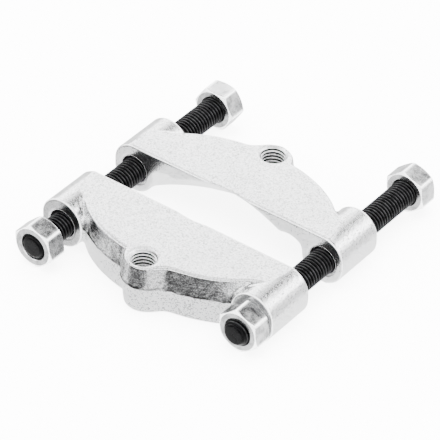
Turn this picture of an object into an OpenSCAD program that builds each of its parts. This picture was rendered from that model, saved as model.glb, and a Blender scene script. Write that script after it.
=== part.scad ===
// Bearing separator: two D-shaped forged jaws on a pair of full-length threaded studs, four hex nuts.
// +X runs from the left stud to the right stud, +Y from the front jaw to the rear jaw, +Z is up.
// The origin is the centre of the footprint, level with the underside of the jaws. Millimetres.

/* [Pose] */
// Gap between the straight inner edges of the two jaws
jaw_gap = 24; // [6:1:30]

/* [Jaw outline] */
// Thickness of each jaw, flat top to flat underside
jaw_height = 24; // [24:1:28]
// Half length of the D outline along X, at its top edge
outline_half_length = 52.7; // [51:0.1:54]
// Depth of the D outline from the straight inner edge, at its top edge
outline_depth = 34.5; // [32:0.5:35]
// Outward draft of the outer wall at the parting line
draft_bulge = 1.8; // [0.8:0.1:2.4]
// Height of the parting line above the underside
parting_height = 13.5; // [11:0.5:15]

/* [Puller hole lobe] */
// Radius of the round lobe at its top edge
lobe_radius = 10.2; // [9.5:0.1:11]
// Distance of the lobe centre from the inner edge
lobe_offset = 31.2; // [30:0.1:32]
// Distance of the puller hole axis from the inner edge
puller_hole_offset = 34; // [33:0.1:34.5]
// Diameter of the puller hole wall, the nominal size of its thread
puller_hole_diameter = 12; // [10:0.5:12.5]
// Diameter of the countersunk mouth of the puller hole
puller_mouth_diameter = 13.3; // [13:0.1:14]

/* [Stud bosses] */
// Distance between the two stud axes
stud_spacing = 102; // [100:1:104]
// Width of a boss across X
boss_width = 21.4; // [20:0.2:23]
// Length of a boss along Y, from the inner edge outward
boss_length = 26; // [22:1:30]
// Diameter of the plain bore that the stud slides in
boss_bore_diameter = 13.2; // [12.8:0.1:13.4]
// Height of the stud axis above the underside; each stud lies on the bottom of its slack bores
stud_axis_height = 10.9; // [10.9:0.1:12]
// Width of the chamfer round each bore mouth
bore_chamfer = 0.5; // [0.3:0.1:1]

/* [Inner edge and relief] */
// Distance from the inner edge out to the vertical axis of the relief cone
relief_axis_distance = 38; // [36:0.5:40]
// Depth of the shallow arc cut in the middle of the inner edge
edge_recess_depth = 1.2; // [0.8:0.1:1.6]
// Thickness of the thin lip left at the middle of the inner edge
lip_thickness = 0.8; // [0.6:0.1:2]
// Radius of the relief cone where it leaves the underside
relief_bottom_radius = 65.3; // [62:0.1:66]
// Radius of the arched pocket beside each boss
pocket_radius = 10.9; // [9:0.1:11]
// Distance of the arched pocket axis from the middle of the jaw
pocket_offset = 32.6; // [32:0.1:34]
// Height of the arched pocket axis above the underside
pocket_axis_height = 5.7; // [4:0.1:6]

/* [Studs] */
// Nominal diameter of the stud thread
stud_diameter = 12; // [11.8:0.1:12.2]
// Length of each stud
stud_length = 137.5; // [130:0.5:150]
// Width of the chamfer at each end of a stud
stud_chamfer = 1.4; // [0.5:0.1:2]
// Distance from the front jaw's inner edge to the left stud's near end
left_stud_reach = 46.1; // [38:0.1:50]
// Distance from the front jaw's inner edge to the right stud's near end
right_stud_reach = 38.7; // [38:0.1:50]

/* [Nuts] */
// Size of the nuts across their flats
nut_across_flats = 18.8; // [18:0.1:18.8]
// Height of a nut along its axis
nut_height = 10; // [8:0.1:10.8]
// Gap from the front jaw's left boss to the nut on it
left_front_nut_gap = 9.7; // [1:0.1:10.5]
// Gap from the rear jaw's left boss to the nut on it
left_rear_nut_gap = 31.8; // [1:0.1:32.4]
// Gap from the rear jaw's right boss to the nut on it
right_rear_nut_gap = 35.7; // [1:0.1:36.6]

/* [Hidden] */

round_fn = 96;                  // facets of true circles
wide_fn = 180;                  // facets of the large outline and relief circles
over = 1;                       // cutters pass this far through a face
seat_gap = 0.02;                // the seated nut stands this clear of its boss
bore_seat_gap = 0.05;           // a stud lies this clear of the bottom of its bores
nut_bore_clearance = 0.05;      // running clearance of a nut on its stud, on the radius
nut_mouth_radius = stud_diameter / 2 + 0.65;
nut_face_ratio = 0.95;          // flat face circle of a nut, as a share of its size across flats
nut_chamfer_angle = 30;

stud_x = stud_spacing / 2;
inner_y = jaw_gap / 2;          // inner edge of the rear jaw before centring
boss_end_y = inner_y + boss_length;
left_stud_y = -inner_y - left_stud_reach;
right_stud_y = -inner_y - right_stud_reach;
centre_y = (left_stud_y + right_stud_y + stud_length) / 2;
outline_ratio = outline_half_length / outline_depth;
upper_draft = draft_bulge / (jaw_height - parting_height);
lower_draft = draft_bulge / parting_height;
edge_recess_radius = relief_axis_distance + edge_recess_depth;
lip_z = jaw_height - lip_thickness;
relief_slope = (relief_bottom_radius - edge_recess_radius) / lip_z;
pocket_end_radius = relief_bottom_radius - 0.4;     // footprint of the pocket's outer end
pocket_end_slope = 0.55;                            // draft of the pocket's outer end
boss_arc_radius = boss_width / 2;
bore_axis_height = stud_axis_height + (boss_bore_diameter - stud_diameter) / 2 - bore_seat_gap;
reach_x = stud_x + boss_width;
reach_y = outline_depth + 2 * lobe_radius;

// A round column with draft both ways from its parting line: radius r at the top and the underside.
// Each of the two cones runs past the jaw's height, so the jaw's flat faces cut them later.
module drafted_column(r, fn) {
    intersection() {
        translate([0, 0, -over])
            cylinder(h = jaw_height + 2 * over,
                     r1 = r + upper_draft * (jaw_height + over), r2 = r - upper_draft * over, $fn = fn);
        translate([0, 0, -over])
            cylinder(h = jaw_height + 2 * over,
                     r1 = r - lower_draft * over, r2 = r + lower_draft * (jaw_height + over), $fn = fn);
    }
}

// The half-space outward of the inner edge, between the flat top and the flat underside.
module jaw_envelope() {
    translate([-reach_x, 0, 0]) cube([2 * reach_x, reach_y, jaw_height]);
}

// D outline with its lobe, full thickness.
module jaw_blank() {
    intersection() {
        union() {
            scale([outline_ratio, 1, 1]) drafted_column(outline_depth, wide_fn);
            translate([0, lobe_offset, 0]) drafted_column(lobe_radius, round_fn);
        }
        jaw_envelope();
    }
}

// Conical undercut that thins the inner edge to a lip, with the shallow arc recess in that edge.
module lip_relief() {
    translate([0, -relief_axis_distance, 0]) {
        translate([0, 0, -over])
            cylinder(h = lip_z + 2 * over, r1 = relief_bottom_radius + relief_slope * over,
                     r2 = edge_recess_radius - relief_slope * over, $fn = wide_fn);
        translate([0, 0, -over])
            cylinder(h = jaw_height + 2 * over, r = edge_recess_radius, $fn = wide_fn);
    }
}

// Arched pocket under the web beside a boss, ended by a drafted wall round the relief axis.
module side_pocket(side) {
    pocket_top = pocket_axis_height + pocket_radius + over;
    intersection() {
        translate([side * pocket_offset, -over, pocket_axis_height])
            rotate([-90, 0, 0]) cylinder(h = outline_depth, r = pocket_radius, $fn = round_fn);
        translate([0, -relief_axis_distance, -over])
            cylinder(h = pocket_top + over, r1 = pocket_end_radius + pocket_end_slope * over,
                     r2 = pocket_end_radius - pocket_end_slope * pocket_top, $fn = wide_fn);
    }
}

// Boss along Y: as high as the jaw, narrower than it is high.
module boss(side) {
    translate([side * stud_x, boss_length, 0]) rotate([90, 0, 0]) linear_extrude(boss_length) {
        translate([0, boss_arc_radius]) circle(r = boss_arc_radius, $fn = round_fn);
        translate([0, jaw_height - boss_arc_radius]) circle(r = boss_arc_radius, $fn = round_fn);
        translate([-boss_arc_radius, boss_arc_radius]) square([boss_width, jaw_height - boss_width]);
    }
}

// Plain bore through a boss with a chamfer at both mouths.
module boss_bore(side) {
    r = boss_bore_diameter / 2;
    translate([side * stud_x, 0, bore_axis_height]) rotate([-90, 0, 0]) {
        translate([0, 0, -over]) cylinder(h = boss_length + 2 * over, r = r, $fn = round_fn);
        translate([0, 0, -over])
            cylinder(h = bore_chamfer + over, r1 = r + bore_chamfer + over, r2 = r, $fn = round_fn);
        translate([0, 0, boss_length - bore_chamfer])
            cylinder(h = bore_chamfer + over, r1 = r, r2 = r + bore_chamfer + over, $fn = round_fn);
    }
}

// Vertical through hole in the lobe, countersunk at the top and the underside.
module puller_hole() {
    r = puller_hole_diameter / 2;
    sink = puller_mouth_diameter / 2 - r;
    translate([0, puller_hole_offset, 0]) {
        translate([0, 0, -over]) cylinder(h = jaw_height + 2 * over, r = r, $fn = round_fn);
        translate([0, 0, jaw_height - sink])
            cylinder(h = sink + over, r1 = r, r2 = r + sink + over, $fn = round_fn);
        translate([0, 0, -over]) cylinder(h = sink + over, r1 = r + sink + over, r2 = r, $fn = round_fn);
    }
}

// One jaw: inner edge on Y = 0, outer wall toward +Y.
module jaw() {
    difference() {
        union() {
            difference() {
                jaw_blank();
                lip_relief();
                side_pocket(-1);
                side_pocket(1);
            }
            boss(-1);
            boss(1);
        }
        boss_bore(-1);
        boss_bore(1);
        puller_hole();
    }
}

module front_jaw() {
    color([0.78, 0.79, 0.80]) translate([0, -inner_y - centre_y, 0]) rotate([0, 0, 180]) jaw();
}

module rear_jaw() {
    color([0.76, 0.77, 0.79]) translate([0, inner_y - centre_y, 0]) jaw();
}

// Threaded stud at its nominal diameter, chamfered at both ends.
module stud(side, near_y) {
    r = stud_diameter / 2;
    translate([side * stud_x, near_y - centre_y, stud_axis_height]) rotate([-90, 0, 0])
        rotate_extrude($fn = round_fn)
            polygon([[0, 0], [r - stud_chamfer, 0], [r, stud_chamfer], [r, stud_length - stud_chamfer],
                     [r - stud_chamfer, stud_length], [0, stud_length]]);
}

module left_stud() {
    color([0.13, 0.13, 0.14]) stud(-1, left_stud_y);
}

module right_stud() {
    color([0.13, 0.13, 0.14]) stud(1, right_stud_y);
}

// Hex nut with both faces chamfered; near_y is its face toward -Y, turn its angle about the stud.
module nut(side, near_y, turn) {
    corner_r = nut_across_flats / 2 / cos(30);
    face_r = nut_face_ratio * nut_across_flats / 2;
    bore_r = stud_diameter / 2 + nut_bore_clearance;
    mouth = nut_mouth_radius - bore_r;
    spread = nut_height / tan(nut_chamfer_angle);
    translate([side * stud_x, near_y - centre_y, stud_axis_height]) rotate([-90, 0, 0]) difference() {
        intersection() {
            rotate([0, 0, turn]) cylinder(h = nut_height, r = corner_r, $fn = 6);
            cylinder(h = nut_height, r1 = face_r, r2 = face_r + spread, $fn = round_fn);
            cylinder(h = nut_height, r1 = face_r + spread, r2 = face_r, $fn = round_fn);
        }
        translate([0, 0, -over]) cylinder(h = nut_height + 2 * over, r = bore_r, $fn = round_fn);
        translate([0, 0, -over])
            cylinder(h = mouth + over, r1 = nut_mouth_radius + over, r2 = bore_r, $fn = round_fn);
        translate([0, 0, nut_height - mouth])
            cylinder(h = mouth + over, r1 = bore_r, r2 = nut_mouth_radius + over, $fn = round_fn);
    }
}

module left_front_nut() {
    color([0.70, 0.71, 0.72]) nut(-1, -boss_end_y - left_front_nut_gap - nut_height, -43);
}

module left_rear_nut() {
    color([0.70, 0.71, 0.72]) nut(-1, boss_end_y + left_rear_nut_gap, 2);
}

module right_front_nut() {
    color([0.72, 0.73, 0.74]) nut(1, -boss_end_y - seat_gap - nut_height, -38);
}

module right_rear_nut() {
    color([0.72, 0.73, 0.74]) nut(1, boss_end_y + right_rear_nut_gap, -38);
}

front_jaw();
rear_jaw();
left_stud();
right_stud();
left_front_nut();
left_rear_nut();
right_front_nut();
right_rear_nut();
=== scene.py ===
"""A bearing separator: two forged jaws, two threaded studs and four hex nuts, zinc and black oxide."""
import math

import bpy
import numpy as np
from mathutils import Matrix, Vector


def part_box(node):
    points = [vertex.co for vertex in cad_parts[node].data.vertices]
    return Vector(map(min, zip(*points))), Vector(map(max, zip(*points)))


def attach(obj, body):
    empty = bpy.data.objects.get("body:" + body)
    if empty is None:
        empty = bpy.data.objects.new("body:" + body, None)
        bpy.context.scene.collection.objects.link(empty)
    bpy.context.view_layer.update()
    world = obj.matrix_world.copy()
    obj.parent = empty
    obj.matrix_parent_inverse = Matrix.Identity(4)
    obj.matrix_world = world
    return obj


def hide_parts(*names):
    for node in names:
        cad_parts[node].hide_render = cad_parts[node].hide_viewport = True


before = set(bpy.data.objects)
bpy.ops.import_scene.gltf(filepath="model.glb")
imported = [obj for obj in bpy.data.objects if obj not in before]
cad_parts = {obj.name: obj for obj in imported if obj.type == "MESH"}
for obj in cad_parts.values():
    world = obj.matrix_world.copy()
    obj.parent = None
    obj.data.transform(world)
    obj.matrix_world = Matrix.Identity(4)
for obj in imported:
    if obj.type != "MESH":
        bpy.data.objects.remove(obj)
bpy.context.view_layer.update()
MM = 0.001
TAU = 2 * math.pi

# Sizes below are in millimetres. The first group repeats values of the CAD source.
JAW_HEIGHT = 24.0
OUTLINE_A, OUTLINE_B = 52.7, 34.5
PARTING_Z = 13.5
LOBE_RADIUS, LOBE_Y = 10.2, 31.2
HOLE_Y = 34.0
STUD_X = 51.0
BOSS_R = 10.7
BOSS_LENGTH = 26.0
BORE_R, BORE_Z, BORE_CHAMFER = 6.6, 11.45, 0.5
RELIEF_AXIS = 38.0
RECESS_R = 39.2
LIP_Z = 23.2
RELIEF_BOTTOM_R = 65.3
POCKET_R, POCKET_X, POCKET_Z = 10.9, 32.6, 5.7
POCKET_END_R, POCKET_END_SLOPE = 64.9, 0.55
PITCH = 1.75
STUD_CHAMFER = 1.4
NUT_FLATS = 18.8
NUT_TURNS = {"left_front_nut": -43, "left_rear_nut": 2, "right_front_nut": -38, "right_rear_nut": -38}

# These are a little smaller than in the CAD source, which has 1.8, 6.65 and 6.
DRAFT_BULGE = 1.5
HOLE_MOUTH_R = 6.4
STUD_R = 5.98

# How softly the jaw's regions run into each other.
DRAFT_BLEND = 0.25
LOBE_BLEND_SOFT, LOBE_BLEND_CRISP = 5.0, 0.9
TOP_BLEND, BOTTOM_BLEND = 1.5, 1.2
POCKET_END_BLEND, POCKET_BLEND, LIP_BLEND = 2.0, 1.2, 0.25
BOSS_END_BLEND, BOSS_ROOT_BLEND = 0.7, 2.6
EDGE_ROUND = 1.0
GRID_STEP = 0.40
GRID_MARGIN = 1.1

# The jaw's uneven skin and its masks.
PARTING_LIFT, PARTING_WIDTH, PARTING_WANDER = 0.22, 0.35, 0.5
FLAT_DEPTH, BOTTOM_DEPTH, END_DEPTH = 0.12, 0.1, 0.1
BORE_MARGIN, HOLE_MARGIN = 0.2, 0.3
FREE_BOSS_Y = 20.0
RIM_WIDTH, MOUTH_RIM_WIDTH = 0.45, 0.5
FAR = 9.0
JAW_ATTRIBUTES = ("forged", "wall", "face", "end", "rim_highlight")

# Thread profiles. A nut's crests stand just outside the stud's.
STUD_ROOT_R, STUD_CREST_FROM = 4.95, 5.72
HOLE_ROOT_R, HOLE_THREAD_DEPTH, HOLE_GROOVE_FROM = 6.05, 0.98, 5.3
HOLE_LINING_OVERLAP, HOLE_END_GAP = 0.5, 0.03
NUT_CREST_R, NUT_THREAD_DEPTH, NUT_MOUTH_R = 6.03, 0.36, 6.72
NUT_FACE_SHARE = 0.95
NUT_CHAMFER_ANGLE = 30

# Light levels by the height of a direction, -1 straight down to 1 straight up.
WORLD_STRENGTH = 10.0
SKY_LEVELS = [(0.20, 2.6), (0.32, 5.0), (0.45, 10.0), (0.55, 9.0), (0.65, 8.0), (0.69, 0.8),
              (0.72, 0.02), (0.86, 0.02), (0.93, 3.5), (1.0, 4.5)]
FRONT_LEVELS = [(-1.0, 3.8), (-0.60, 3.4), (-0.56, 0.8), (-0.46, 0.45), (-0.40, 0.36),
                (-0.26, 0.08), (0.02, 0.10)]
BACK_LEVELS = [(-1.0, 4.0), (-0.45, 3.6), (-0.28, 2.3), (-0.02, 2.0), (0.10, 2.1)]
OVERHEAD_HEIGHT, OVERHEAD_SIZE, OVERHEAD_POWER = 1.5, 2.0, 160.0
FLOOR_HALF, FLOOR_DROP, FLOOR_GLOW = 3.0, 0.0002, 6.0

# The camera: angles in degrees, lengths in metres, focal length in pixels of a 440 pixel image.
CAMERA_AZIMUTH, CAMERA_ELEVATION, CAMERA_ROLL = 35.95, 38.06, 1.82
CAMERA_DISTANCE = 1.4703
CAMERA_RIGHT, CAMERA_UP = 0.004575, 0.00269
LOOK_RAISE = 0.0002
FOCAL_PIXELS, IMAGE_PIXELS, SENSOR_MM = 3416.5, 440, 36.0


# ---------- mesh helpers ----------

def make_object(name, verts_mm, quads, body, node):
    """A smooth mesh object from numpy arrays, riding on its body and standing for its CAD node."""
    mesh = bpy.data.meshes.new(name)
    mesh.vertices.add(len(verts_mm))
    mesh.vertices.foreach_set("co", (np.asarray(verts_mm, np.float64) * MM).ravel())
    loops = np.asarray(quads, np.int32)
    mesh.loops.add(loops.size)
    mesh.loops.foreach_set("vertex_index", loops.ravel())
    mesh.polygons.add(len(loops))
    mesh.polygons.foreach_set("loop_start", np.arange(0, loops.size, 4, dtype=np.int32))
    mesh.update(calc_edges=True)
    mesh.validate()
    mesh.shade_smooth()
    obj = bpy.data.objects.new(name, mesh)
    bpy.context.scene.collection.objects.link(obj)
    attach(obj, body)
    if node:
        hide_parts(node)
    return obj


def add_attribute(obj, name, values):
    """A per-vertex float attribute that the materials read."""
    attribute = obj.data.attributes.new(name, "FLOAT", "POINT")
    attribute.data.foreach_set("value", np.asarray(values, np.float32))


def ring_grid(rings, count, closed=False):
    """Quads between consecutive rings of count vertices; closed also joins the last ring to the first."""
    pairs = [(i, i + 1) for i in range(rings - 1)]
    if closed:
        pairs.append((rings - 1, 0))
    j = np.arange(count)
    k = (j + 1) % count
    return np.concatenate([np.stack([a * count + j, a * count + k, b * count + k, b * count + j], 1)
                           for a, b in pairs])


def ring_angles(count):
    return np.arange(count) * TAU / count


def ring_around_y(x0, y, z0, radius, theta):
    return np.stack([x0 + radius * np.cos(theta), np.full(len(theta), y), z0 + radius * np.sin(theta)], 1)


def ring_around_z(x0, y0, z, radius, theta):
    return np.stack([x0 + radius * np.cos(theta), y0 + radius * np.sin(theta), np.full(len(theta), z)], 1)


def fade(value, start, width):
    """0 up to start, then rising to 1 over width."""
    return np.clip((value - start) / width, 0.0, 1.0)


# ---------- the forged jaws, as signed distances ----------

def smooth_min(a, b, k):
    h = np.clip(0.5 + 0.5 * (b - a) / k, 0.0, 1.0)
    return b * (1 - h) + a * h - k * h * (1 - h)


def smooth_max(a, b, k):
    return -smooth_min(-a, -b, k)


def wave_noise(p, scale, seed, count=9):
    """Smooth seeded noise, about -1 to 1: a sum of sine waves in random directions."""
    rng = np.random.RandomState(seed)
    total = np.zeros(p.shape[:-1])
    for _ in range(count):
        direction = rng.normal(size=3)
        direction /= np.linalg.norm(direction)
        wave = direction * rng.uniform(0.6, 1.6) * TAU / scale
        total += np.sin(p @ wave + rng.uniform(0, TAU))
    return total / math.sqrt(count)


def column(distance, z):
    """Distance to a column with draft both ways from the parting line."""
    upper = DRAFT_BULGE / (JAW_HEIGHT - PARTING_Z) * (JAW_HEIGHT - z)
    lower = DRAFT_BULGE / PARTING_Z * z
    return smooth_max(distance - upper, distance - lower, DRAFT_BLEND)


def barrel_distance(x, z):
    """Distance across the axis to a boss's round side, without its ends."""
    half = JAW_HEIGHT / 2 - BOSS_R
    above = np.maximum(np.abs(z - JAW_HEIGHT / 2) - half, 0)
    return np.hypot(np.abs(x) - STUD_X, above) - BOSS_R


def blank_distance(x, y, z):
    """Distance to the D-shaped plate with its lobe, which runs in softly on the -x side only."""
    q = np.sqrt((x / OUTLINE_A) ** 2 + (y / OUTLINE_B) ** 2) + 1e-9
    slope = np.sqrt((x / OUTLINE_A ** 2) ** 2 + (y / OUTLINE_B ** 2) ** 2) + 1e-9
    outline = q * (q - 1) / slope
    lobe = np.hypot(x, y - LOBE_Y) - LOBE_RADIUS
    blend = np.where(x > 0, LOBE_BLEND_CRISP, LOBE_BLEND_SOFT)
    blank = smooth_min(column(outline, z), column(lobe, z), blend)
    blank = smooth_max(blank, z - JAW_HEIGHT, TOP_BLEND)
    return smooth_max(blank, -z, BOTTOM_BLEND)


def relief_distance(x, y, z):
    """Distance to the hollow under the inner edge: a cone, a recess behind the lip and two pockets."""
    around = np.hypot(x, y + RELIEF_AXIS)
    cone_slope = (RELIEF_BOTTOM_R - RECESS_R) / LIP_Z
    cone = (around - RECESS_R - cone_slope * (LIP_Z - z)) / math.hypot(1, cone_slope)
    recess = around - RECESS_R
    pocket = np.hypot(np.abs(x) - POCKET_X, z - POCKET_Z) - POCKET_R
    pocket_end = (around - POCKET_END_R + POCKET_END_SLOPE * z) / math.hypot(1, POCKET_END_SLOPE)
    pocket = smooth_max(pocket, pocket_end, POCKET_END_BLEND)
    return np.minimum(smooth_min(cone, pocket, POCKET_BLEND), recess)


def boss_distance(x, y, z):
    return smooth_max(barrel_distance(x, z), y - BOSS_LENGTH, BOSS_END_BLEND)


def jaw_distance(p):
    """Signed distance to one jaw: inner edge on y = 0, outer wall toward +y, flat top at z = 24."""
    x, y, z = p[..., 0], p[..., 1], p[..., 2]
    body = smooth_max(blank_distance(x, y, z), -relief_distance(x, y, z), LIP_BLEND)
    body = smooth_min(body, boss_distance(x, y, z), BOSS_ROOT_BLEND)
    body = np.maximum(np.maximum(body, z - JAW_HEIGHT), -z)
    body = smooth_max(body, -y, EDGE_ROUND)
    bore = np.hypot(np.abs(x) - STUD_X, z - BORE_Z) - BORE_R
    bore = bore - np.maximum(BORE_CHAMFER - y, 0) - np.maximum(y - BOSS_LENGTH + BORE_CHAMFER, 0)
    hole = np.hypot(x, y - HOLE_Y) - HOLE_MOUTH_R
    return smooth_max(smooth_max(body, -bore, EDGE_ROUND), -hole, EDGE_ROUND)


def neighbours(axis, across):
    """Two slices of a grid, one step apart along an axis, with the given slice across it."""
    near = [across] * 3
    far = [across] * 3
    near[axis] = slice(0, -1)
    far[axis] = slice(1, None)
    return tuple(near), tuple(far)


def cell_crossings(f, grid, step):
    """For each grid cell, the sum and the number of the points where its edges cross the surface."""
    inside = f < 0
    cells = tuple(n - 1 for n in f.shape)
    total = np.zeros(cells + (3,))
    count = np.zeros(cells)
    for axis in range(3):
        near, far = neighbours(axis, slice(None))
        cross = inside[near] != inside[far]
        t = np.where(cross, f[near] / np.where(cross, f[near] - f[far], 1), 0)
        point = grid[near].copy()
        point[..., axis] += t * step
        point *= cross[..., None]
        first, second = (k for k in range(3) if k != axis)
        for i in (0, 1):
            for j in (0, 1):
                part = [slice(None)] * 3
                part[first] = slice(i, i + cells[first])
                part[second] = slice(j, j + cells[second])
                total += point[tuple(part)]
                count += cross[tuple(part)]
    return total, count


def crossing_quads(inside, index):
    """One quad around each grid edge that crosses the surface, facing outward."""
    quads = []
    for axis in range(3):
        near, far = neighbours(axis, slice(1, -1))
        crossing = inside[near] != inside[far]
        leaving = inside[near][crossing]
        cell = np.argwhere(crossing) + np.array([int(k != axis) for k in range(3)])
        u, v = np.eye(3, dtype=int)[(axis + 1) % 3], np.eye(3, dtype=int)[(axis + 2) % 3]
        corners = [cell - u - v, cell - v, cell, cell - u]
        ids = np.stack([index[tuple(c.T)] for c in corners], 1)
        ids[~leaving] = ids[~leaving][:, ::-1]
        quads.append(ids)
    return np.concatenate(quads)


def surface_nets(distance, low, high, step):
    """Vertices and quads of the zero surface of a distance function on a regular grid."""
    axes = [np.arange(l, h + step, step) for l, h in zip(low, high)]
    grid = np.stack(np.meshgrid(*axes, indexing="ij"), -1)
    f = distance(grid)
    total, count = cell_crossings(f, grid, step)
    active = count > 0
    index = -np.ones(count.shape, np.int64)
    index[active] = np.arange(active.sum())
    return total[active] / count[active][:, None], crossing_quads(f < 0, index)


def gradient(distance, p, h=0.02):
    g = np.zeros_like(p)
    for axis in range(3):
        e = np.zeros(3)
        e[axis] = h
        g[:, axis] = (distance(p + e) - distance(p - e)) / (2 * h)
    return g


def settle(distance, verts, rounds=4, least_slope=0.25, damping=0.9):
    """Moves each vertex onto the zero surface by Newton steps."""
    for _ in range(rounds):
        g = gradient(distance, verts)
        length = np.maximum((g ** 2).sum(1), least_slope)
        verts = verts - damping * (distance(verts) / length)[:, None] * g
    return verts


def rim_highlight_mask(x, y, z, boss):
    """1 on the thin rims at bore mouths, boss ends and the puller hole's upper mouth, where a bright
    highlight is painted.
    """
    mouth_edge = np.abs(np.hypot(np.abs(x) - STUD_X, z - BORE_Z) - BORE_R - BORE_MARGIN)
    free_side = (np.abs(x) > STUD_X) | (y > FREE_BOSS_Y)
    barrel_edge = np.where(free_side, np.abs(barrel_distance(x, z)), FAR)
    side = np.minimum(np.minimum(mouth_edge, barrel_edge), JAW_HEIGHT - z)
    plane = np.minimum(y, np.where(boss < 0.3, np.abs(BOSS_LENGTH - y), FAR))
    rim_highlight = np.clip(1.3 - np.hypot(plane, side) / RIM_WIDTH, 0.0, 1.0)
    hole_edge = np.hypot(x, y - HOLE_Y) - HOLE_MOUTH_R - 0.1
    hole_rim_highlight = np.clip(1.2 - np.hypot(hole_edge, JAW_HEIGHT - z) / MOUTH_RIM_WIDTH, 0.0, 1.0)
    return np.maximum(rim_highlight, hole_rim_highlight)


def jaw_zones(p):
    """Masks over a jaw's vertices, by name, and each vertex's distance from the flat faces."""
    x, y, z = p.T
    blank, boss = blank_distance(x, y, z), boss_distance(x, y, z)
    in_bore = np.hypot(np.abs(x) - STUD_X, z - BORE_Z) < BORE_R + BORE_CHAMFER + BORE_MARGIN
    in_hole = np.hypot(x, y - HOLE_Y) < HOLE_MOUTH_R + HOLE_MARGIN
    barrel = (np.abs(boss) < 0.35) & (blank > 0.1)
    end = (y > BOSS_LENGTH - END_DEPTH) & (boss < 0.2)
    face = (y < FLAT_DEPTH) | end
    flat = (z > JAW_HEIGHT - FLAT_DEPTH) | (z < BOTTOM_DEPTH) | face
    skin = ~(flat | in_bore | in_hole)
    wall = skin & ~barrel & (blank > -0.4)
    from_end = np.where(boss < 0.3, BOSS_LENGTH - y, FAR)
    from_flat = np.minimum(np.minimum(JAW_HEIGHT - z, z), np.minimum(y, from_end))
    return {"forged": fade(from_flat, 0.1, 0.5) * skin, "wall": wall, "face": face, "end": end,
            "rim_highlight": rim_highlight_mask(x, y, z, boss), "barrel": barrel, "skin": skin, "from_flat": from_flat}


def roughen(verts, normals, zones):
    """Lifts and sinks the forged skin a little, and raises a ragged parting line on the walls."""
    line = verts[:, 2] - PARTING_Z + PARTING_WANDER * wave_noise(verts, 9.0, 5)
    parting = np.exp(-(line / PARTING_WIDTH) ** 2)
    ease = fade(zones["from_flat"], 0.1, 1.2) * zones["skin"]
    coarse = 0.05 * wave_noise(verts, 7.0, 11) + 0.02 * wave_noise(verts, 3.0, 12)
    fine = 0.012 * wave_noise(verts, 1.6, 13)
    share = np.where(zones["barrel"], 0.15, 1.0)
    sink = np.where(zones["barrel"], 0.05, 0.15)
    lift = ease * (share * coarse + fine - sink)
    lift += ease * zones["wall"] * parting * PARTING_LIFT
    verts = verts + normals * lift[:, None]
    verts[:, 2] = np.clip(verts[:, 2], 0.0, JAW_HEIGHT)
    return verts


def build_jaw():
    """Vertices, quads and zones of one jaw, with the forged skin roughened a little."""
    low = (-STUD_X - BOSS_R - GRID_MARGIN, -GRID_MARGIN, -GRID_MARGIN)
    high = (STUD_X + BOSS_R + GRID_MARGIN, LOBE_Y + LOBE_RADIUS + 3.0, JAW_HEIGHT + GRID_MARGIN)
    verts, quads = surface_nets(jaw_distance, low, high, GRID_STEP)
    verts = settle(jaw_distance, verts)
    normals = gradient(jaw_distance, verts)
    normals /= np.linalg.norm(normals, axis=1)[:, None] + 1e-9
    zones = jaw_zones(verts)
    return roughen(verts, normals, zones), quads, zones


# ---------- threads and nuts ----------

def thread_wave(u):
    """0 at the root and 1 at the crest of a 60 degree thread; u counts pitches."""
    w = np.abs((u % 1.0) - 0.5) * 2
    wave = fade(w, 0.16, 0.66)
    return wave * wave * (3 - 2 * wave) * 0.35 + wave * 0.65


def stud_mesh(x0, y0, z0, length):
    """A full-length rolled thread along +Y with chamfered flat ends, and a mask of its crests."""
    around = 72
    per_pitch = 12
    rows = int(round(length / PITCH * per_pitch))
    along = np.linspace(0, length, rows + 1)
    theta = ring_angles(around)
    yy, tt = np.meshgrid(along, theta, indexing="ij")
    radius = STUD_ROOT_R + (STUD_R - STUD_ROOT_R) * thread_wave((yy + y0) / PITCH + tt / TAU)
    flat = STUD_R - STUD_CHAMFER
    radius = smooth_min(radius, flat + np.minimum(yy, length - yy), 0.12)
    end_rings = [(0.0, 0.02), (0.0, 2.0), (0.0, 3.9), (0.02, flat - 0.22), (0.07, flat - 0.08)]
    profile = end_rings + [(along[i], radius[i]) for i in range(1, rows)]
    profile += [(length - y, r) for y, r in reversed(end_rings)]
    verts = np.concatenate([ring_around_y(x0, y0 + y, z0, r, theta) for y, r in profile])
    j = np.arange(around // 2 - 1)
    cap = np.stack([around - 1 - j, around - 2 - j, j + 1, j], 1)
    far_cap = cap[:, ::-1] + (len(profile) - 1) * around
    quads = np.concatenate([ring_grid(len(profile), around), cap, far_cap])[:, ::-1]
    crest = fade(np.hypot(verts[:, 0] - x0, verts[:, 2] - z0), STUD_CREST_FROM, 0.2)
    middle = (verts[:, 1] > y0 + 0.3) & (verts[:, 1] < y0 + length - 0.3)
    return verts, quads, crest * middle


def hole_thread_mesh(x0, y0, z_low, z_high):
    """The threaded lining of a puller hole, countersunk at both ends, and a mask of its grooves, where shade
    is painted.
    """
    around = 128
    per_pitch = 16
    length = z_high - z_low
    rows = int(round(length / PITCH * per_pitch))
    along = np.linspace(0, length, rows + 1)
    theta = ring_angles(around)
    zz, tt = np.meshgrid(along, theta, indexing="ij")
    radius = HOLE_ROOT_R - HOLE_THREAD_DEPTH * thread_wave(zz / PITCH - tt / TAU)
    radius = smooth_max(radius, HOLE_MOUTH_R + 0.12 - np.minimum(zz, length - zz), 0.15)
    profile = [(z_low + z, r) for z, r in zip(along, radius)]
    profile += [(z, HOLE_MOUTH_R + HOLE_LINING_OVERLAP) for z in (z_high - 0.05, z_low + 0.05)]
    verts = np.concatenate([ring_around_z(x0, y0, z, r, theta) for z, r in profile])
    quads = ring_grid(len(profile), around, closed=True)[:, ::-1]
    inner = np.hypot(verts[:, 0] - x0, verts[:, 1] - y0)
    groove_shade = fade(inner, HOLE_GROOVE_FROM, 0.35) * fade(z_high - 0.9 - verts[:, 2], 0.0, 0.2)
    return verts, quads, groove_shade


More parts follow.
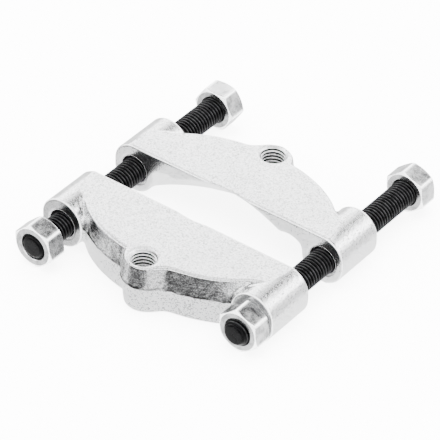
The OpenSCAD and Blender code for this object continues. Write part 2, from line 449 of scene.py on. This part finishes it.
def nut_profile(y0, height, hexagon, face_r, angle):
    """A nut's rings as (y, radius): up its threaded bore, out over the far face, back to the near one."""
    rows = int(height / PITCH * (14))
    inner_y = np.linspace(0, height, rows + 1)
    yy, tt = np.meshgrid(inner_y, angle, indexing="ij")
    bore = NUT_CREST_R + NUT_THREAD_DEPTH * thread_wave((yy + y0) / PITCH + tt / TAU)
    bore = smooth_max(bore, NUT_MOUTH_R - np.minimum(yy, height - yy) * 0.9, 0.10)
    near_edge = np.array([0.0, 0.05, 0.12, 0.25, 0.4, 0.6, 0.85, 1.1, 1.35, 1.6, 2.0])
    outer_y = np.concatenate([near_edge, np.linspace(2.4, height - 2.4, 7), height - near_edge[::-1]])
    face_rings = [np.full(len(angle), r) for r in (6.80, 7.0, 7.7, 8.4, face_r - 0.25, face_r - 0.08)]
    profile = list(zip(inner_y, bore))
    profile += [(height, r) for r in face_rings]
    for y in outer_y[::-1]:
        reach = face_r + min(y, height - y) / math.tan(math.radians(NUT_CHAMFER_ANGLE))
        profile.append((y, smooth_min(hexagon, np.full(len(angle), reach), 0.1)))
    return profile + [(0.0, r) for r in reversed(face_rings)]


def nut_mesh(x0, y0, z0, height, turn_deg):
    """A hex nut along +Y, chamfered, countersunk and threaded, and a mask of its corners and chamfer, where
    a highlight is painted.
    """
    around = 6 * 30
    theta = ring_angles(around)
    angle = theta - math.radians(turn_deg)
    apothem = NUT_FLATS / 2
    corner = apothem / math.cos(math.pi / 6)
    face_r = NUT_FACE_SHARE * apothem
    from_flat_middle = (theta % (math.pi / 3)) - math.pi / 6
    hexagon = smooth_min(apothem / np.cos(from_flat_middle), np.full(around, corner - 0.16), 0.12)
    profile = nut_profile(y0, height, hexagon, face_r, angle)
    edges = []
    for y, r in profile:
        near_corner = fade(r, corner - 0.6, 0.4)
        chamfer = fade(hexagon - r, 0.0, 0.12) * (r > face_r - 0.1)
        edges.append(np.maximum(near_corner, chamfer) * (0.0 < y < height))
    verts = [ring_around_y(x0, y0 + y, z0, r, angle) for y, r in profile]
    return np.concatenate(verts), ring_grid(len(profile), around, closed=True), np.concatenate(edges)


# ---------- node trees ----------

class Tree:
    """Short calls for building a node tree."""

    def __init__(self, tree):
        self.tree = tree

    def add(self, kind, **settings):
        node = self.tree.nodes.new(kind)
        for key, value in settings.items():
            setattr(node, key, value)
        return node

    def link(self, a, b):
        self.tree.links.new(a, b)

    def fill(self, socket, value):
        """Links an output to a socket, or writes a number or a colour on it."""
        if isinstance(value, bpy.types.NodeSocket):
            self.link(value, socket)
        else:
            socket.default_value = (*value, 1.0) if isinstance(value, tuple) else value

    def ramp(self, value, stops):
        """A colour ramp; its inner stops are inserted in place, so their order holds."""
        node = self.add("ShaderNodeValToRGB")
        elements = node.color_ramp.elements
        for position, colour in stops[1:-1]:
            elements.new(position).color = (*colour, 1.0)
        for i in (0, -1):
            position, colour = stops[i]
            elements[i].position = position
            elements[i].color = (*colour, 1.0)
        self.link(value, node.inputs[0])
        return node.outputs[0]

    def mix(self, factor, a, b):
        node = self.add("ShaderNodeMix", data_type="RGBA")
        self.fill(node.inputs[0], factor)
        self.fill(node.inputs[6], a)
        self.fill(node.inputs[7], b)
        return node.outputs[2]

    def math(self, operation, a, b=0.0):
        node = self.add("ShaderNodeMath", operation=operation)
        self.fill(node.inputs[0], a)
        self.fill(node.inputs[1], b)
        return node.outputs[0]

    def spread(self, value, low, high, to_low=0.0, to_high=1.0):
        """Maps low..high to to_low..to_high, held at both ends."""
        node = self.add("ShaderNodeMapRange")
        self.link(value, node.inputs[0])
        for i, number in enumerate((low, high, to_low, to_high), 1):
            node.inputs[i].default_value = number
        return node.outputs[0]

    def axes(self, vector):
        node = self.add("ShaderNodeSeparateXYZ")
        self.link(vector, node.inputs[0])
        return node.outputs


class Surface(Tree):
    """A material with one Principled shader, and patterns in object coordinates."""

    def __init__(self, name):
        self.material = bpy.data.materials.new(name)
        self.material.use_nodes = True
        super().__init__(self.material.node_tree)
        self.tree.nodes.clear()
        self.shader = self.add("ShaderNodeBsdfPrincipled")
        self.link(self.shader.outputs[0], self.add("ShaderNodeOutputMaterial").inputs[0])
        self.coords = self.add("ShaderNodeTexCoord").outputs["Object"]

    def noise(self, scale, detail, roughness):
        node = self.add("ShaderNodeTexNoise")
        node.inputs["Scale"].default_value = scale
        node.inputs["Detail"].default_value = detail
        node.inputs["Roughness"].default_value = roughness
        self.link(self.coords, node.inputs["Vector"])
        return node.outputs["Fac"]

    def attribute(self, name):
        return self.add("ShaderNodeAttribute", attribute_name=name).outputs["Fac"]

    def bump(self, height, strength, distance):
        node = self.add("ShaderNodeBump")
        node.inputs["Strength"].default_value = strength
        node.inputs["Distance"].default_value = distance
        self.link(height, node.inputs["Height"])
        self.link(node.outputs[0], self.shader.inputs["Normal"])

    def set(self, socket, value):
        self.fill(self.shader.inputs[socket], value)

    def dull_metal(self, mask, share=0.6):
        """Metal everywhere, with the masked edges partly matt white, a painted highlight that catches light
        from all sides.
        """
        self.set("Metallic", self.math("SUBTRACT", 1.0, self.math("MULTIPLY", mask, share)))


# ---------- materials ----------

def satin_colour(n, speckle):
    """The machined faces: satin zinc with fine dark specks, boss ends painted darker as shade and thread
    grooves painted dark as shade.
    """
    cloud = n.noise(70, 4.0, 0.6)
    colour = n.mix(n.spread(cloud, 0.35, 0.65), (0.83, 0.835, 0.84), (0.90, 0.905, 0.91))
    colour = n.mix(n.spread(speckle, 0.47, 0.66), colour, (0.16, 0.162, 0.165))
    # Painted shade: the boss end faces are darkened.
    colour = n.mix(n.math("MULTIPLY", n.attribute("end"), 0.75), colour, (0.24, 0.242, 0.245))
    # Painted shade: the thread grooves turn near black.
    return n.mix(n.attribute("groove_shade"), colour, (0.008, 0.008, 0.0083))


def wall_colour(n, grain, blotch):
    """The forged walls: grainy, painted darker above the parting line as shade and lighter below as light,
    with a dark line between.
    """
    coarse_grain = n.math("ADD", n.math("MULTIPLY", grain, 0.9), n.math("MULTIPLY", blotch, 0.1))
    # Painted shade and light: the ramp above the parting line is darker than the one below.
    upper = n.ramp(coarse_grain, [(0.38, (0.14, 0.141, 0.143)),
                                  (0.49, (0.39, 0.393, 0.397)),
                                  (0.60, (0.68, 0.685, 0.69))])
    lower = n.ramp(grain, [(0.36, (0.16, 0.161, 0.163)),
                           (0.47, (0.46, 0.463, 0.467)),
                           (0.60, (0.76, 0.765, 0.77))])
    parting = PARTING_Z * MM
    level = n.math("ADD", n.axes(n.coords)[2], n.spread(blotch, 0.3, 0.7, -0.0006, 0.0006))
    colour = n.mix(n.spread(level, parting - 0.0014, parting + 0.0008), lower, upper)
    drift = n.noise(45, 3.0, 0.5)
    colour = n.mix(n.spread(drift, 0.50, 0.60, 0.0, 0.35), colour, lower)
    line = n.math("ABSOLUTE", n.math("SUBTRACT", level, parting + 0.0003))
    return n.mix(n.spread(line, 0.0002, 0.0008, 0.65, 0.0), colour, (0.05, 0.05, 0.052))


def forging_roughness(n, speckle, blotch, forged, rim_highlight):
    machined = n.spread(speckle, 0.3, 0.7, 0.30, 0.42)
    machined = n.math("SUBTRACT", machined, n.math("MULTIPLY", n.attribute("face"), 0.14))
    skin = n.spread(blotch, 0.3, 0.7, 0.14, 0.24)
    rough = n.math("ADD", n.math("MULTIPLY", machined, n.math("SUBTRACT", 1.0, forged)),
                   n.math("MULTIPLY", skin, forged))
    return n.math("ADD", rough, n.math("MULTIPLY", rim_highlight, 0.35))


def forging_material():
    """Zinc on a forging: satin machined faces, a grainy forged skin and rims painted matt white as a
    highlight.
    """
    n = Surface("zinc_forging")
    forged = n.attribute("forged")
    rim_highlight = n.attribute("rim_highlight")
    speckle = n.noise(1350, 3.0, 0.9)
    grain = n.noise(1250, 3.0, 0.85)
    blotch = n.noise(210, 6.0, 0.7)
    barrel = n.ramp(grain, [(0.36, (0.12, 0.121, 0.123)),
                            (0.47, (0.70, 0.705, 0.71)),
                            (0.58, (0.95, 0.955, 0.96))])
    skin = n.mix(n.attribute("wall"), barrel, wall_colour(n, grain, blotch))
    colour = n.mix(forged, satin_colour(n, speckle), skin)
    # Painted highlight: the rims turn near white.
    n.set("Base Color", n.mix(rim_highlight, colour, (0.95, 0.955, 0.96)))
    n.dull_metal(rim_highlight)
    n.set("Roughness", forging_roughness(n, speckle, blotch, forged, rim_highlight))
    skin_height = n.math("ADD", grain, n.math("MULTIPLY", blotch, 0.4))
    skin_height = n.math("MULTIPLY", skin_height, n.math("MULTIPLY", forged, 0.8))
    n.bump(n.math("ADD", n.math("MULTIPLY", speckle, 0.25), skin_height), 1.0, 0.00008)
    return n.material


def nut_material():
    """Bright zinc with cloudy, lightly scuffed flats and edges painted matt white as a highlight."""
    n = Surface("zinc_nut")
    cloud = n.noise(260, 5.0, 0.65)
    fine = n.noise(2200, 3.0, 0.7)
    edge = n.attribute("edge")
    colour = n.mix(n.spread(cloud, 0.35, 0.60), (0.26, 0.263, 0.268), (0.62, 0.625, 0.63))
    # Painted highlight: the chamfer and corners turn near white.
    colour = n.mix(edge, colour, (0.92, 0.925, 0.93))
    n.set("Base Color", n.mix(n.spread(fine, 0.4, 0.7, 0.0, 0.3), colour, (0.5, 0.5, 0.5)))
    n.dull_metal(edge)
    n.set("Roughness", n.spread(cloud, 0.3, 0.7, 0.18, 0.32))
    n.bump(n.math("ADD", cloud, n.math("MULTIPLY", fine, 0.3)), 0.25, 0.0001)
    return n.material


def stud_material():
    """Black oxide on a rolled thread: near black, with the thread's crests a little lighter, partly rubbed
    wear and partly a painted highlight.
    """
    n = Surface("black_oxide")
    cloud = n.noise(320, 4.0, 0.6)
    fine = n.noise(2600, 3.0, 0.7)
    black = n.mix(n.spread(cloud, 0.35, 0.7), (0.0020, 0.0020, 0.0022), (0.0050, 0.0050, 0.0054))
    # The lighter crests are partly wear and partly a painted highlight.
    crest_wear_and_highlight = n.mix(n.spread(cloud, 0.3, 0.7), (0.008, 0.008, 0.0083), (0.045, 0.0455, 0.047))
    crest_wear_and_highlight_mask = n.math("MULTIPLY", n.attribute("crest"), n.spread(fine, 0.3, 0.6, 0.4, 1.0))
    n.set("Base Color", n.mix(crest_wear_and_highlight_mask, black, crest_wear_and_highlight))
    n.set("Metallic", 0.8)
    n.set("Specular IOR Level", 0.08)
    n.set("Roughness", n.spread(cloud, 0.3, 0.7, 0.24, 0.38))
    n.bump(n.math("ADD", cloud, fine), 0.2, 0.0001)
    return n.material


# ---------- pieces ----------

def place_jaws(material):
    """Both jaws are one forging; the front one is turned half a turn about the vertical."""
    verts, quads, zones = build_jaw()
    thread_verts, thread_quads, groove_shade = hole_thread_mesh(0.0, HOLE_Y, HOLE_END_GAP,
                                                          JAW_HEIGHT - HOLE_END_GAP)
    for node, side in (("front_jaw", -1), ("rear_jaw", 1)):
        low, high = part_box(node)
        inner = (high.y if side < 0 else low.y) / MM
        turn = np.array([side, side, 1.0])
        shift = np.array([0.0, inner, low.z / MM])
        jaw = make_object(node + "_forging", verts * turn + shift, quads, node, node)
        for name in JAW_ATTRIBUTES:
            add_attribute(jaw, name, zones[name])
        jaw.data.materials.append(material)
        lining = make_object(node + "_hole_thread", thread_verts * turn + shift, thread_quads, node, None)
        add_attribute(lining, "groove_shade", groove_shade)
        lining.data.materials.append(material)


def place_studs(material):
    for node in ("left_stud", "right_stud"):
        low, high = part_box(node)
        centre = (low + high) / 2 / MM
        verts, quads, crest = stud_mesh(centre.x, low.y / MM, centre.z, (high.y - low.y) / MM)
        stud = make_object(node + "_thread", verts, quads, node, node)
        add_attribute(stud, "crest", crest)
        stud.data.materials.append(material)


def place_nuts(material):
    for node, turn in NUT_TURNS.items():
        low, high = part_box(node)
        stud_low, stud_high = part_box(node.split("_")[0] + "_stud")
        axis = (stud_low + stud_high) / 2 / MM
        verts, quads, edge = nut_mesh(axis.x, low.y / MM, axis.z, (high.y - low.y) / MM, turn)
        nut = make_object(node + "_hex", verts, quads, node, node)
        add_attribute(nut, "edge", edge)
        nut.data.materials.append(material)


# ---------- stage, light and camera ----------

def make_floor():
    """A wide sheet of pale paper that glows a little and doesn't show in reflections."""
    s = FLOOR_HALF
    mesh = bpy.data.meshes.new("floor")
    mesh.from_pydata([(-s, -s, 0), (s, -s, 0), (s, s, 0), (-s, s, 0)], [], [(0, 1, 2, 3)])
    floor = bpy.data.objects.new("floor", mesh)
    floor.location.z = -FLOOR_DROP
    bpy.context.scene.collection.objects.link(floor)
    n = Surface("floor_paper")
    n.set("Base Color", (0.93, 0.93, 0.93))
    n.set("Roughness", 0.9)
    n.set("Emission Color", (1.0, 1.0, 1.0))
    n.set("Emission Strength", FLOOR_GLOW)
    mesh.materials.append(n.material)
    floor.visible_glossy = False


def make_world():
    """Soft light by direction: a darker set of levels in front, a lighter one behind, right and far left."""
    world = bpy.data.worlds.new("studio")
    world.use_nodes = True
    n = Tree(world.node_tree)
    background = n.tree.nodes["Background"]
    background.inputs["Strength"].default_value = WORLD_STRENGTH
    x, y, z = n.axes(n.add("ShaderNodeTexCoord").outputs["Generated"])
    height = n.spread(z, -1.0, 1.0)
    front, back = (n.ramp(height, [((at + 1) / 2, (level / WORLD_STRENGTH,) * 3) for at, level in levels])
                   for levels in (FRONT_LEVELS + SKY_LEVELS, BACK_LEVELS + SKY_LEVELS))
    behind = n.spread(y, 0.35, 0.60)
    right = n.spread(x, 0.40, 0.55)
    left = n.math("MULTIPLY", n.spread(x, -0.66, -0.78), n.spread(y, -0.10, -0.30))
    lit = n.math("MAXIMUM", behind, n.math("MAXIMUM", right, left))
    n.link(n.mix(lit, front, back), background.inputs[0])
    bpy.context.scene.world = world


def make_light():
    """A wide soft light straight overhead, which doesn't show in reflections."""
    data = bpy.data.lights.new("overhead", "AREA")
    data.shape = "RECTANGLE"
    data.size = data.size_y = OVERHEAD_SIZE
    data.energy = OVERHEAD_POWER
    light = bpy.data.objects.new("overhead", data)
    light.location = (0.0, 0.0, OVERHEAD_HEIGHT)
    light.visible_glossy = False
    bpy.context.scene.collection.objects.link(light)


def make_camera():
    """A long lens from the front right, looking down at the middle of the gap between the jaws."""
    azimuth, elevation, roll = (math.radians(v) for v in (CAMERA_AZIMUTH, CAMERA_ELEVATION, CAMERA_ROLL))
    back = Vector((math.sin(azimuth) * math.cos(elevation), -math.cos(azimuth) * math.cos(elevation),
                   math.sin(elevation)))
    right = Vector((math.cos(azimuth), math.sin(azimuth), 0))
    up = back.cross(right)
    rolled_right = right * math.cos(roll) + up * math.sin(roll)
    rolled_up = up * math.cos(roll) - right * math.sin(roll)
    jaw_low, jaw_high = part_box("front_jaw")
    rear_low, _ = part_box("rear_jaw")
    centre = Vector((0, (jaw_high.y + rear_low.y) / 2, (jaw_low.z + jaw_high.z) / 2 + LOOK_RAISE))
    data = bpy.data.cameras.new("camera")
    data.sensor_width = SENSOR_MM
    data.lens = SENSOR_MM * FOCAL_PIXELS / IMAGE_PIXELS
    data.clip_start, data.clip_end = 0.05, 20.0
    camera = bpy.data.objects.new("camera", data)
    axes = Matrix((rolled_right, rolled_up, back)).transposed().to_4x4()
    place = centre + back * CAMERA_DISTANCE + rolled_right * CAMERA_RIGHT + rolled_up * CAMERA_UP
    camera.matrix_world = Matrix.Translation(place) @ axes
    bpy.context.scene.collection.objects.link(camera)
    bpy.context.scene.camera = camera


place_jaws(forging_material())
place_studs(stud_material())
place_nuts(nut_material())
make_floor()
make_world()
make_light()
make_camera()
